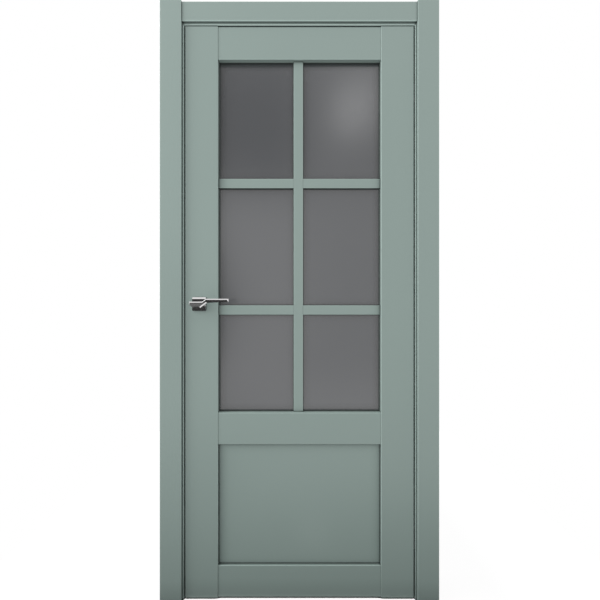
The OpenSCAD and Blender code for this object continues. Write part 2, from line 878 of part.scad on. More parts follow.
// Base plate that the bolts hold to the leaf
module rosette_base(rear) {
    width = rosette_w - 2 * rosette_wall - 2 * fit;
    color(plastic) at_handle(rear) difference() {
        along_y(-half_t - base_t, -half_t) rosette_outline(width, base_corner);
        along_y(-half_t - rosette_t, over - half_t) circle(d = neck_d + 2 * fit);
        for (side = [-1, 1]) translate([side * bolt_pitch / 2, 0, 0])
            along_y(-half_t - rosette_t, over - half_t) circle(d = bolt_d + 2 * fit);
    }
}

module rosette_base_front() { rosette_base(false); }
module rosette_base_rear() { rosette_base(true); }

module handle_bolts() {
    color(steel) at_handle(false) for (side = [-1, 1])
        translate([side * bolt_pitch / 2, 0, 0]) along_y(-bolt_end, bolt_end) circle(d = bolt_d);
}

// Stepped lever seen from the front, clockwise: a block on the spindle, a slanted riser and a slim grip
lever_outline = [
    [-lever_end, block_top], [27, block_top], [39, grip_top], [lever_l, grip_top],
    [lever_l, tip_foot], [42, grip_foot], [20, block_foot], [-2, block_foot], [-lever_end, -2]
];
lever_lengths = [[0, 1, 6, 7, 8], [1, 2, 5, 6], [2, 3, 4, 5]];

// Corner of an outline moved inwards, square to both of its sides
function inset_corner(before, corner, after, d) =
    let (a = (corner - before) / norm(corner - before), b = (after - corner) / norm(after - corner))
    let (in_a = [a[1], -a[0]], in_b = [b[1], -b[0]])
    corner + d * (in_a + in_b) / (1 + in_a * in_b);

lever_corners = len(lever_outline);
lever_inset = [for (i = [0:lever_corners - 1])
    inset_corner(
        lever_outline[(i + lever_corners - 1) % lever_corners], lever_outline[i],
        lever_outline[(i + 1) % lever_corners], lever_bevel
    )
];

// One straight length of the lever, bevelled along its front and back edges
module lever_length(corners) {
    hull() {
        along_y(-lever_face, -lever_back) polygon([for (i = corners) lever_inset[i]]);
        along_y(lever_bevel - lever_face, -lever_back - lever_bevel)
            polygon([for (i = corners) lever_outline[i]]);
    }
}

// Lever with its neck, a square socket for the spindle and a bore for the grub screw
module lever(rear) {
    color(chrome) at_handle(rear) difference() {
        union() {
            for (corners = lever_lengths) lever_length(corners);
            along_y(-lever_back - over, -neck_base) circle(d = neck_d);
        }
        block([-socket_w / 2, -spindle_end - play, -socket_w / 2], [socket_w / 2, -half_t, socket_w / 2]);
        grub_screw(fit);
    }
}

module lever_front() { lever(false); }
module lever_rear() { lever(true); }

// Grub screw from below into the neck, just off the spindle
module grub_screw(gap = 0) {
    grub_y = (half_t + rosette_t + lever_back) / 2;
    translate([0, -grub_y, -neck_d / 2 - (gap > 0 ? over : 0)])
        cylinder(h = grub_l + (gap > 0 ? over : 0), d = grub_d + 2 * gap);
}

module grub_screws() {
    color(steel) for (rear = [false, true]) at_handle(rear) grub_screw();
}

module spindle() {
    color(steel) at_handle(false)
        block([-spindle_w / 2, -spindle_end, -spindle_w / 2], [spindle_w / 2, spindle_end, spindle_w / 2]);
}

// Round follower in the lock case, turned by the spindle
module follower() {
    color(steel) at_handle(false) difference() {
        along_y(-case_t / 2, case_t / 2) circle(d = follower_d);
        block([-socket_w / 2, -case_t, -socket_w / 2], [socket_w / 2, case_t, socket_w / 2]);
    }
}

jamb_lock_side();
jamb_hinge_side();
jamb_head();
seal_lock_side();
seal_hinge_side();
seal_head();
architrave_front_lock_side();
architrave_front_hinge_side();
architrave_front_head();
architrave_rear_lock_side();
architrave_rear_hinge_side();
architrave_rear_head();
strike_plate();
strike_box();
strike_magnet();
strike_screws();
frame_screws();
hinge_jamb_cup_upper();
hinge_jamb_cup_lower();
hinge_jamb_screws();
hinge_arm_upper();
hinge_arm_lower();
lock_stile();
hinge_stile();
top_rail();
lock_rail();
bottom_rail();
lower_panel();
mullion();
bar_upper_lock_side();
bar_upper_hinge_side();
bar_lower_lock_side();
bar_lower_hinge_side();
pane_top_lock_side();
pane_top_hinge_side();
pane_middle_lock_side();
pane_middle_hinge_side();
pane_bottom_lock_side();
pane_bottom_hinge_side();
pane_gaskets();
rail_dowels();
hinge_leaf_cup_upper();
hinge_leaf_cup_lower();
hinge_leaf_screws();
lock_case();
lock_faceplate();
lock_screws();
latch_bolt();
rosette_front();
rosette_rear();
rosette_base_front();
rosette_base_rear();
handle_bolts();
lever_front();
lever_rear();
spindle();
follower();
grub_screws();
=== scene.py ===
"""Painted interior door in its own frame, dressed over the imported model.

All places are in metres in the model's own frame: X runs from the lock side to the hinge side, -Y is the
side that the leaf opens to, and Z is up from the floor.
"""

from __future__ import annotations

import json
import logging
import math
from dataclasses import dataclass
from enum import Enum

import bpy
import numpy as np
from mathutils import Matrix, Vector


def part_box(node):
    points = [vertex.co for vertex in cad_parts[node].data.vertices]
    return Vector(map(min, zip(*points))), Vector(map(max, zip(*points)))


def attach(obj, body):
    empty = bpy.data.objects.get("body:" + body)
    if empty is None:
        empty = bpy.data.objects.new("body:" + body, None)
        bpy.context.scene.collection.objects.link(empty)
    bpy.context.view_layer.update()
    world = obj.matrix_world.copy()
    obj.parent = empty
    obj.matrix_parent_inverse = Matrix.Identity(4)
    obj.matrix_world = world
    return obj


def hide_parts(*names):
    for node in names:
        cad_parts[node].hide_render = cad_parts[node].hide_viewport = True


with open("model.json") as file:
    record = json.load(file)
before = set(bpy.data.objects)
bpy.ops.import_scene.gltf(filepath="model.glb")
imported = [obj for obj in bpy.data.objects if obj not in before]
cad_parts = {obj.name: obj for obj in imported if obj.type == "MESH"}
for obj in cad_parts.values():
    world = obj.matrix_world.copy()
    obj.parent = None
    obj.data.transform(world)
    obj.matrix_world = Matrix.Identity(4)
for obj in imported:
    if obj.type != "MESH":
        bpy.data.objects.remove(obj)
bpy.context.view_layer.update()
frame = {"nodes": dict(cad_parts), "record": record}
MM = 0.001
LOG = logging.getLogger("door")

Triple = tuple[float, float, float]
Pair = tuple[float, float]
Colour = tuple[float, float, float, float]
Faces = list[tuple[int, ...]]
Socket = bpy.types.NodeSocket

WHITE: Colour = (1.0, 1.0, 1.0, 1.0)

# Places of the colour sockets on a mix node
MIX_FIRST = 6
MIX_SECOND = 7
MIX_RESULT = 2

# Part of a soft random pattern's range that holds most of its values
PATTERN_MIDDLE: Pair = (0.3, 0.7)


class Slot(Enum):
    """Material slots of the record."""

    PAINT = "paint"
    GLASS = "glass"
    GASKET = "gasket"
    SEAL = "seal"
    CHROME = "chrome"
    STEEL = "steel"
    MAGNET = "magnet"
    PLASTIC = "plastic"
    DOWEL = "dowel"


class Recess(Enum):
    """Driving recess in a screw's head."""

    CROSS = "cross"
    HEXAGON = "hexagon"


def tone(colour: Triple) -> Colour:
    """Opaque colour for a socket."""
    return (*colour, 1.0)


def shaded(colour: Triple, share: float) -> Colour:
    """Colour times a share, for a socket."""
    return tone(tuple(channel * share for channel in colour))


class Shader:
    """Node tree of one material, with its principled shader and short calls that add and join nodes."""

    def __init__(self, name: str) -> None:
        """Starts a material.

        Args:
            name: Name of the material.
        """
        self.material = bpy.data.materials.new(name)
        self.material.use_nodes = True
        self.tree = self.material.node_tree
        self.surface = self.tree.nodes["Principled BSDF"]
        self.place = self.add("ShaderNodeTexCoord").outputs["Object"]

    def add(self, kind: str, **inputs: object) -> bpy.types.Node:
        """Adds a node.

        Args:
            kind: Type name of the node.
            inputs: Sockets by name, with underscores for blanks; a socket is joined, and a value is set.

        Returns:
            The new node.
        """
        node = self.tree.nodes.new(kind)
        for name, value in inputs.items():
            self.feed(node.inputs[name.replace("_", " ")], value)
        return node

    def feed(self, socket: Socket, value: object) -> None:
        """Joins a socket to another one, or sets its value.

        Args:
            socket: The socket to feed.
            value: Another socket, or a value.
        """
        if isinstance(value, Socket):
            self.tree.links.new(value, socket)
        else:
            socket.default_value = value

    def dress(self, **inputs: object) -> None:
        """Feeds the principled shader's sockets, with underscores for blanks in their names."""
        for name, value in inputs.items():
            self.feed(self.surface.inputs[name.replace("_", " ")], value)

    def along(self, axis: str) -> Socket:
        """Object coordinate on one axis, X, Y or Z."""
        return self.add("ShaderNodeSeparateXYZ", Vector=self.place).outputs[axis]

    def stretched(self, stretch: Triple) -> Socket:
        """Object coordinates, each axis times its own factor."""
        return self.add("ShaderNodeMapping", Vector=self.place, Scale=stretch).outputs["Vector"]

    def noise(self, scale: float, detail: float = 2.0, stretch: Triple = (1.0, 1.0, 1.0)) -> Socket:
        """Soft random pattern.

        Args:
            scale: Cells a metre.
            detail: Number of finer layers.
            stretch: Factor of each axis, below 1 for a pattern that is long on that axis.

        Returns:
            A value round one half.
        """
        vector = self.stretched(stretch)
        return self.add("ShaderNodeTexNoise", Vector=vector, Scale=scale, Detail=detail).outputs["Fac"]

    def ranged(self, value: Socket, low: float, high: float, span: Pair = PATTERN_MIDDLE) -> Socket:
        """Spreads a span of a value evenly over a range, and holds it at the range's ends beyond the span.

        Args:
            value: The value or pattern.
            low: Result at the span's start.
            high: Result at the span's end.
            span: Start and end of the span.

        Returns:
            The value in its new range.
        """
        node = self.add("ShaderNodeMapRange", Value=value)
        node.inputs["From Min"].default_value = span[0]
        node.inputs["From Max"].default_value = span[1]
        node.inputs["To Min"].default_value = low
        node.inputs["To Max"].default_value = high
        return node.outputs["Result"]

    def mixed(self, share: Socket, first: object, second: object) -> Socket:
        """Mixes two colours.

        Args:
            share: Share of the second colour.
            first: A colour, or a socket that gives one.
            second: The other one.

        Returns:
            The colour between them.
        """
        node = self.tree.nodes.new("ShaderNodeMix")
        node.data_type = "RGBA"
        self.feed(node.inputs[0], share)
        self.feed(node.inputs[MIX_FIRST], first)
        self.feed(node.inputs[MIX_SECOND], second)
        return node.outputs[MIX_RESULT]

    def varied(self, share: Socket, colour: Triple, shades: Pair) -> Socket:
        """Colour that a pattern varies between two shades of itself."""
        return self.mixed(share, shaded(colour, shades[0]), shaded(colour, shades[1]))

    def math(self, operation: str, first: object, second: object = 0.0) -> Socket:
        """Works out a sum on two values.

        Args:
            operation: Name of the sum.
            first: A value or a socket.
            second: The other one, where the sum has two.

        Returns:
            The result.
        """
        node = self.tree.nodes.new("ShaderNodeMath")
        node.operation = operation
        self.feed(node.inputs[0], first)
        self.feed(node.inputs[1], second)
        return node.outputs[0]

    def outlook(self, reach: float, span: Pair, samples: int = 8) -> Socket:
        """How open a point lies.

        Args:
            reach: Distance in metres within which another surface closes its outlook.
            span: Shares of the outlook that count as closed and as open.
            samples: Directions that are tried.

        Returns:
            A value from 0 in a crevice to 1 in the open.
        """
        node = self.add("ShaderNodeAmbientOcclusion", Distance=reach)
        node.samples = samples
        return self.ranged(node.outputs["AO"], 0.0, 1.0, span)

    def patch(self, low: Triple, high: Triple, border: float) -> Socket:
        """Oblong patch of the floor that lies evenly about the middle.

        Args:
            low: Its left near corner.
            high: The corner across from that one.
            border: Width over which it fades out at its sides and its near edge.

        Returns:
            A value of 1 within the patch that falls to 0 over its border, and is 0 beyond its far edge.
        """
        aside = self.math("ABSOLUTE", self.along("X"))
        forward = self.along("Y")
        across = self.ranged(aside, 1.0, 0.0, (high[0] - border, high[0]))
        along = self.ranged(forward, 0.0, 1.0, (low[1], low[1] + border))
        before = self.math("LESS_THAN", forward, high[1])
        return self.math("MULTIPLY", self.math("MULTIPLY", across, along), before)

    def bump(self, height: Socket, depth: float) -> Socket:
        """Relief of a given depth in metres."""
        return self.add("ShaderNodeBump", Height=height, Distance=depth, Strength=1.0).outputs["Normal"]


@dataclass(frozen=True)
class PaintFinish:
    """Satin sprayed paint: a hardly visible cloudiness, a fine sprayed relief, arrises that wear has polished
    and a painted highlight makes paler, painted shade in crevices and at the foot, and bare board where it
    isn't seen.

    Attributes:
        name: Name of the material.
        colour: Colour of the paint.
        gloss: Strength of its mirrored light.
        roughness: Roughness of the sprayed skin.
        rough_cells: Cells a metre of the pattern in the roughness.
        rough_spread: How far the roughness goes up and down.
        cloud_cells: Cells a metre of the cloudiness.
        cloud_shades: Shades of the cloudiness.
        peel_cells: Cells a metre of the sprayed relief.
        peel_depth: Depth of the sprayed relief.
        painted_arris_highlight: How much paler the painted highlight makes an arris.
        worn_roughness: Roughness of an arris that wear has polished.
        wear_and_highlight_flat: Facing at which wear and the painted highlight start and are full, next to
            the flat.
        wear_and_highlight_side: Facing at which wear and the painted highlight are gone and still full, next
            to the side.
        wear_and_highlight_from: Height from which the wear and the painted highlight on the arrises are full.
        crevice_reach: Distance within which another surface makes a crevice.
        crevice_span: Shares of the outlook that count as closed and as open.
        crevice_painted_shade: Darkness of the painted shade in a crevice.
        foot_height: Height up to which the foot is painted darker.
        foot_painted_shade: Darkness of the painted shade at the floor.
        bare_beyond: Distance from the middle beyond which the board is bare.
        board: Colour of the bare board.
        board_cells: Cells a metre of its fibres.
        board_shades: Shades of its fibres.
        board_roughness: Roughness of the bare board.
    """

    name: str
    colour: Triple = (0.300, 0.378, 0.352)
    gloss: float = 0.3
    roughness: float = 0.36
    rough_cells: float = 60.0
    rough_spread: float = 0.03
    cloud_cells: float = 2.6
    cloud_shades: Pair = (0.985, 1.015)
    peel_cells: float = 420.0
    peel_depth: float = 0.03 * MM
    painted_arris_highlight: float = 1.6
    worn_roughness: float = 0.2
    wear_and_highlight_flat: Pair = (0.995, 0.96)
    wear_and_highlight_side: Pair = (0.5, 0.75)
    wear_and_highlight_from: float = 250.0 * MM
    crevice_reach: float = 3.0 * MM
    crevice_span: Pair = (0.35, 0.92)
    crevice_painted_shade: float = 0.08
    foot_height: float = 75.0 * MM
    foot_painted_shade: float = 0.78
    bare_beyond: float | None = None
    board: Triple = (0.42, 0.31, 0.20)
    board_cells: float = 900.0
    board_shades: Pair = (0.88, 1.08)
    board_roughness: float = 0.85

    def material(self) -> bpy.types.Material:
        """Lays the paint's parts over each other.

        Returns:
            The material; paint covers all but what lies beyond the bare distance from the middle.
        """
        shader = Shader(self.name)
        coat = shader.varied(shader.noise(self.cloud_cells, detail=3.0), self.colour, self.cloud_shades)
        least, most = self.roughness - self.rough_spread, self.roughness + self.rough_spread
        rough = shader.ranged(shader.noise(self.rough_cells), least, most)
        relief = shader.bump(shader.noise(self.peel_cells, detail=1.0), self.peel_depth)
        height = shader.along("Z")
        # Painted shade: the paint is darker towards the floor.
        clear = shader.ranged(height, 0.0, 1.0, (0.0, self.foot_height))
        coat = shader.mixed(clear, shaded(self.colour, self.foot_painted_shade), coat)
        # Painted highlight: arrises are painted paler; the same mask also lowers their roughness for polish
        # from wear.
        wear_and_highlight_height = shader.ranged(height, 0.0, 1.0, (0.0, self.wear_and_highlight_from))
        wear_and_highlight = shader.math("MULTIPLY", self.arris(shader), wear_and_highlight_height)
        coat = shader.mixed(wear_and_highlight, coat, shaded(self.colour, self.painted_arris_highlight))
        polish = shader.math("MULTIPLY", wear_and_highlight, self.roughness - self.worn_roughness)
        rough = shader.math("SUBTRACT", rough, polish)
        # Painted shade: crevices, gaps and inner corners within reach of another surface are painted darker.
        outlook = shader.outlook(self.crevice_reach, self.crevice_span)
        coat = shader.mixed(outlook, shaded(self.colour, self.crevice_painted_shade), coat)
        if self.bare_beyond is not None:
            coat, rough = self.bare(shader, coat, rough)
        shader.dress(Base_Color=coat, Roughness=rough, Normal=relief, Specular_IOR_Level=self.gloss)
        return shader.material

    def arris(self, shader: Shader) -> Socket:
        """Where a surface turns away from the front or the back.

        The Y part of the surface's own direction is 1 on a flat front and falls to 0 round an arris; the
        share of wear and painted highlight rises from 0 to 1 where it leaves 1, and is gone again two thirds
        of the way round.

        Args:
            shader: The material in work.

        Returns:
            Share of wear and of the painted highlight.
        """
        direction = shader.add("ShaderNodeTexCoord").outputs["Normal"]
        apart = shader.add("ShaderNodeSeparateXYZ", Vector=direction)
        facing = shader.math("ABSOLUTE", apart.outputs["Y"])
        off_flat = shader.ranged(facing, 0.0, 1.0, self.wear_and_highlight_flat)
        before_side = shader.ranged(facing, 0.0, 1.0, self.wear_and_highlight_side)
        return shader.math("MULTIPLY", off_flat, before_side)

    def bare(self, shader: Shader, coat: Socket, rough: Socket) -> tuple[Socket, Socket]:
        """Lets bare board show beyond a distance from the middle.

        Args:
            shader: The material in work.
            coat: Colour of the paint.
            rough: Roughness of the paint.

        Returns:
            Colour and roughness with the bare part in them.
        """
        side = shader.math("ABSOLUTE", shader.along("X"))
        is_bare = shader.math("GREATER_THAN", side, self.bare_beyond)
        fibre = shader.ranged(shader.noise(self.board_cells, detail=3.0), 0.0, 1.0)
        raw = shader.varied(fibre, self.board, self.board_shades)
        bare_rough = shader.math("MULTIPLY", is_bare, self.board_roughness)
        return shader.mixed(is_bare, coat, raw), shader.math("MAXIMUM", rough, bare_rough)


@dataclass(frozen=True)
class GlassFinish:
    """Grey satin glass: a soft etched sheen over a body that lets little light through.

    Attributes:
        name: Name of the material.
        colour: Colour of the body.
        shades: Shades of its slow unevenness.
        cloud_cells: Cells a metre of that unevenness.
        roughness: Roughness of the etched face.
        rough_cells: Cells a metre of the pattern in the roughness.
        rough_spread: How far the roughness goes up and down.
        density: How strongly the face mirrors, as an index of refraction.
        clear: Share of light that goes through.
        grain_cells: Cells a metre of the etched grain.
        grain_depth: Depth of the etched grain.
        edge_reach: Distance within which a bar or rail shades the pane.
        edge_span: Shares of the outlook that count as closed and as open.
        edge_shade: Shade at the pane's edge.
    """

    name: str
    colour: Triple = (0.071, 0.075, 0.082)
    shades: Pair = (0.97, 1.03)
    cloud_cells: float = 3.0
    roughness: float = 0.24
    rough_cells: float = 90.0
    rough_spread: float = 0.02
    density: float = 2.1
    clear: float = 0.06
    grain_cells: float = 1400.0
    grain_depth: float = 0.004 * MM
    edge_reach: float = 30.0 * MM
    edge_span: Pair = (0.7, 0.985)
    edge_shade: float = 0.42

    def material(self) -> bpy.types.Material:
        """Lays the edge's shade and the etched grain over the body.

        Returns:
            The material.
        """
        shader = Shader(self.name)
        body = shader.varied(shader.noise(self.cloud_cells), self.colour, self.shades)
        # Painted shade: the glass is painted darker where stiles, rails and bars stand close to it.
        outlook = shader.outlook(self.edge_reach, self.edge_span)
        body = shader.mixed(outlook, shaded(self.colour, self.edge_shade), body)
        least, most = self.roughness - self.rough_spread, self.roughness + self.rough_spread
        rough = shader.ranged(shader.noise(self.rough_cells), least, most)
        relief = shader.bump(shader.noise(self.grain_cells, detail=1.0), self.grain_depth)
        shader.dress(Base_Color=body, Roughness=rough, Normal=relief)
        shader.dress(IOR=self.density, Transmission_Weight=self.clear)
        return shader.material


@dataclass(frozen=True)
class MetalFinish:
    """Metal: polished or drawn out in fine lines along one axis.

    Attributes:
        name: Name of the material.
        colour: Colour of the metal.
        roughness: Roughness of its face.
        line_cells: Cells a metre of the lines.
        line_stretch: Factor of each axis, below 1 for the axis that the lines follow.
        line_depth: Depth of the lines.
        shades: Shades of the lines.
        rough_shares: Shares of the roughness in the lines.
    """

    name: str
    colour: Triple
    roughness: float
    line_cells: float = 500.0
    line_stretch: Triple = (1.0, 1.0, 1.0)
    line_depth: float = 0.002 * MM
    shades: Pair = (0.95, 1.04)
    rough_shares: Pair = (0.8, 1.2)

    def material(self) -> bpy.types.Material:
        """Draws the lines in roughness, colour and relief.

        Returns:
            The material.
        """
        shader = Shader(self.name)
        lines = shader.noise(self.line_cells, stretch=self.line_stretch)
        body = shader.varied(lines, self.colour, self.shades)
        least, most = (self.roughness * share for share in self.rough_shares)
        rough = shader.ranged(lines, least, most)
        relief = shader.bump(lines, self.line_depth)
        shader.dress(Base_Color=body, Roughness=rough, Normal=relief, Metallic=1.0)
        return shader.material


@dataclass(frozen=True)
class MattFinish:
    """Matt rubber or moulded plastic with a fine even grain.

    Attributes:
        name: Name of the material.
        colour: Colour of the material.
        roughness: Roughness of its face.
        rough_spread: How far the roughness goes up and down.
        grain_cells: Cells a metre of the grain.
        grain_depth: Depth of the grain.
        cloud_cells: Cells a metre of its slow unevenness.
        shades: Shades of that unevenness.
    """

    name: str
    colour: Triple
    roughness: float
    rough_spread: float = 0.08
    grain_cells: float = 1500.0
    grain_depth: float = 0.02 * MM
    cloud_cells: float = 25.0
    shades: Pair = (0.9, 1.1)

    def material(self) -> bpy.types.Material:
        """Lays the grain over the uneven colour.

        Returns:
            The material.
        """
        shader = Shader(self.name)
        grain = shader.noise(self.grain_cells)
        body = shader.varied(shader.noise(self.cloud_cells), self.colour, self.shades)
        least, most = self.roughness - self.rough_spread, self.roughness + self.rough_spread
        rough = shader.ranged(grain, least, most)
        relief = shader.bump(grain, self.grain_depth)
        shader.dress(Base_Color=body, Roughness=rough, Normal=relief)
        return shader.material


@dataclass(frozen=True)
class BeechFinish:
    """Plain beech, with flecks along the dowels.

    Attributes:
        name: Name of the material.
        colour: Colour of the wood.
        shades: Shades of the flecks.
        roughness: Roughness of the wood.
        fleck_cells: Cells a metre of the flecks.
        fleck_stretch: Factor of each axis; the flecks are long on X.
        fleck_depth: Depth of the flecks.
    """

    name: str
    colour: Triple = (0.55, 0.38, 0.22)
    shades: Pair = (0.8, 1.1)
    roughness: float = 0.6
    fleck_cells: float = 900.0
    fleck_stretch: Triple = (0.08, 1.0, 1.0)
    fleck_depth: float = 0.04 * MM

    def material(self) -> bpy.types.Material:
        """Draws the flecks in colour and relief.

        Returns:
            The material.
        """
        shader = Shader(self.name)
        fleck = shader.noise(self.fleck_cells, detail=3.0, stretch=self.fleck_stretch)
        body = shader.varied(shader.ranged(fleck, 0.0, 1.0), self.colour, self.shades)
        relief = shader.bump(fleck, self.fleck_depth)
        shader.dress(Base_Color=body, Normal=relief, Roughness=self.roughness)
        return shader.material


Finish = PaintFinish | GlassFinish | MetalFinish | MattFinish | BeechFinish

FINISHES: dict[Slot, Finish] = {
    Slot.PAINT: PaintFinish("satin_paint"),
    Slot.GLASS: GlassFinish("grey_satin_glass"),
    Slot.GASKET: MattFinish("dark_gasket", (0.036, 0.046, 0.042), 0.6),
    Slot.SEAL: MattFinish("grey_seal", (0.045, 0.055, 0.052), 0.65),
    Slot.CHROME: MetalFinish("polished_chrome", (0.74, 0.73, 0.735), 0.05),
    Slot.STEEL: MetalFinish("satin_steel", (0.50, 0.50, 0.51), 0.34, 700.0, (1.0, 1.0, 0.05), 0.006 * MM),
    Slot.MAGNET: MetalFinish("plain_magnet", (0.20, 0.20, 0.21), 0.5, 300.0),
    Slot.PLASTIC: MattFinish("moulded_plastic", (0.02, 0.02, 0.021), 0.5),
    Slot.DOWEL: BeechFinish("plain_beech"),
}

MATERIALS: dict[str, bpy.types.Material] = {}


def dressed_in(slot: Slot, finish: Finish | None = None) -> bpy.types.Material:
    """Material of a slot, made once.

    Args:
        slot: The record's slot.
        finish: A finish of its own in place of the slot's usual one.

    Returns:
        The material.
    """
    chosen = finish or FINISHES[slot]
    if chosen.name not in MATERIALS:
        MATERIALS[chosen.name] = chosen.material()
    return MATERIALS[chosen.name]


def grid_faces(rows: int, columns: int) -> np.ndarray:
    """Quads of a grid that is closed round its columns.

    Args:
        rows: Points along the surface.
        columns: Points round it.

    Returns:
        Point numbers of each quad, one row of four for each.
    """
    along, around = np.meshgrid(np.arange(rows - 1), np.arange(columns), indexing="ij")
    beside = (around + 1) % columns
    here, onward = along * columns, (along + 1) * columns
    corners = (here + around, here + beside, onward + beside, onward + around)
    return np.stack(corners, axis=-1).reshape(-1, 4)


def tube_mesh(points: np.ndarray) -> tuple[np.ndarray, Faces]:
    """Points and faces of a closed tube.

    Args:
        points: Rings of points, as an array of rows, columns and X, Y, Z.

    Returns:
        The points in one list, and the grid's quads with one face over each end ring.
    """
    rows, columns, _ = points.shape
    faces = [tuple(quad) for quad in grid_faces(rows, columns).tolist()]
    faces.append(tuple(range(columns))[::-1])
    faces.append(tuple(range((rows - 1) * columns, rows * columns)))
    return points.reshape(-1, 3), faces


def joined(parts: list[tuple[np.ndarray, Faces]]) -> tuple[np.ndarray, Faces]:
    """Several sets of points and faces as one set.

    Args:
        parts: Points and faces of each part.

    Returns:
        All points, and all faces with their numbers moved on.
    """
    starts = np.cumsum([0] + [len(points) for points, _ in parts[:-1]]).tolist()
    faces = [tuple(n + start for n in face) for start, (_, own) in zip(starts, parts) for face in own]
    return np.concatenate([points for points, _ in parts]), faces


def new_piece(name: str, points: np.ndarray, faces: Faces, sharp: float) -> bpy.types.Object:
    """Makes a mesh piece with its place in its mesh.

    Args:
        name: Name of the piece.
        points: Places of its points.
        faces: Point numbers of its faces.
        sharp: Angle in degrees above which an edge stays sharp in shading.

    Returns:
        The new object, linked to the scene.
    """
    mesh = bpy.data.meshes.new(name)
    mesh.from_pydata(points.tolist(), [], faces)
    mesh.validate()
    mesh.shade_smooth()
    mesh.set_sharp_from_angle(angle=math.radians(sharp))
    piece = bpy.data.objects.new(name, mesh)
    bpy.context.scene.collection.objects.link(piece)
    return piece


@dataclass
class Screws:
    """One node's screws, each with a driving recess in its head.

    Attributes:
        node: CAD node that the screws stand for.
        body: Body that they ride on.
        places: Middle of each head's face, in millimetres.
        axis: Direction of each screw's point.
        shank: Diameter of the shank in millimetres; the sizes below are shares of it.
        length: Length from the head's face to the point, in millimetres.
        recess: Shape of the driving recess.
        head: Whether a countersunk head is wider than the shank.
        headed: Rim's radius, tip's length and tip's radius with such a head.
        headless: The same three without one.
        shank_radius: Radius of the shank.
        neck: How much shorter than the rim's radius the cone is.
        middle: Radius of the innermost ring, as a share of the rim's.
        arm_half: Half the width of a cross's arm.
        arm_reach: How far its arms reach.
        flat_half: Distance of a hexagon's flats from the axis.
        wall: Width over which the recess falls to its depth.
        depth: Depth of the recess.
        face_rings: Rings over the head's face.
        columns: Points round the screw.
        sharp: Angle in degrees above which an edge stays sharp in shading.
    """

    node: str
    body: str
    places: list[Triple]
    axis: list[Triple]
    shank: float
    length: float
    recess: Recess = Recess.CROSS
    head: bool = True
    headed: Triple = (1.0, 1.0, 0.02)
    headless: Triple = (0.5, 0.06, 0.44)
    shank_radius: float = 0.5
    neck: float = 0.48
    middle: float = 0.02
    arm_half: float = 0.13
    arm_reach: float = 0.55
    flat_half: float = 0.25
    wall: float = 0.05
    depth: float = 0.4
    face_rings: int = 22
    columns: int = 48
    sharp: float = 30.0

    def sunk(self, radius: np.ndarray, angle: np.ndarray) -> np.ndarray:
        """Depth of the recess below the head's face.

        A cross is where a point lies within an arm's half width of either axis; a hexagon is where its
        distance to the nearest flat is under the flat's own distance. Both fade out over a narrow wall.

        Args:
            radius: Distance from the screw's axis, as a share of the shank's diameter.
            angle: Angle round the axis.

        Returns:
            Depth as a share of the shank's diameter.
        """
        if self.recess is Recess.CROSS:
            off_arm = np.minimum(np.abs(radius * np.cos(angle)), np.abs(radius * np.sin(angle)))
            inside = np.minimum(self.arm_half - off_arm, self.arm_reach - radius)
        else:
            turn = np.mod(angle, math.pi / 3) - math.pi / 6
            inside = self.flat_half - radius * np.cos(turn)
        return self.depth * np.clip(inside / self.wall, 0.0, 1.0)

    def unit_screw(self) -> np.ndarray:
        """Rings of points of one screw along +X, with its head's face at the origin.

        The profile runs out over the face, down the cone and along the shank to a tip; the face sinks by
        the recess.

        Returns:
            Array of rings, columns and X, Y, Z.
        """
        rim, tip, tip_radius = self.headed if self.head else self.headless
        face = np.linspace(self.middle, 1.0, self.face_rings) * rim
        lower = np.array([self.shank_radius, self.shank_radius, tip_radius])
        lower_x = np.array([rim - self.neck, self.length / self.shank - tip, self.length / self.shank])
        radius = np.concatenate([face, lower])[:, None]
        along = np.concatenate([np.zeros_like(face), lower_x])[:, None]
        angle = np.linspace(0.0, 2 * math.pi, self.columns, endpoint=False)[None, :]
        on_face = (np.arange(len(radius)) < len(face))[:, None]
        depth = self.sunk(radius, angle) * on_face
        return self.shank * np.stack([along + depth, radius * np.cos(angle), radius * np.sin(angle)], axis=-1)

    def build(self) -> bpy.types.Object:
        """Turns and moves one screw to each place, and joins them.

        Returns:
            The new piece.
        """
        unit = self.unit_screw()
        parts = []
        for place, axis in zip(self.places, self.axis):
            turn = np.array(Vector((1.0, 0.0, 0.0)).rotation_difference(Vector(axis)).to_matrix())
            parts.append(tube_mesh((unit @ turn.T + np.array(place)) * MM))
        points, faces = joined(parts)
        piece = new_piece(f"{self.node}_driven", points, faces, self.sharp)
        piece.data.materials.append(dressed_in(Slot.STEEL))
        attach(piece, self.body)
        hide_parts(self.node)
        return piece


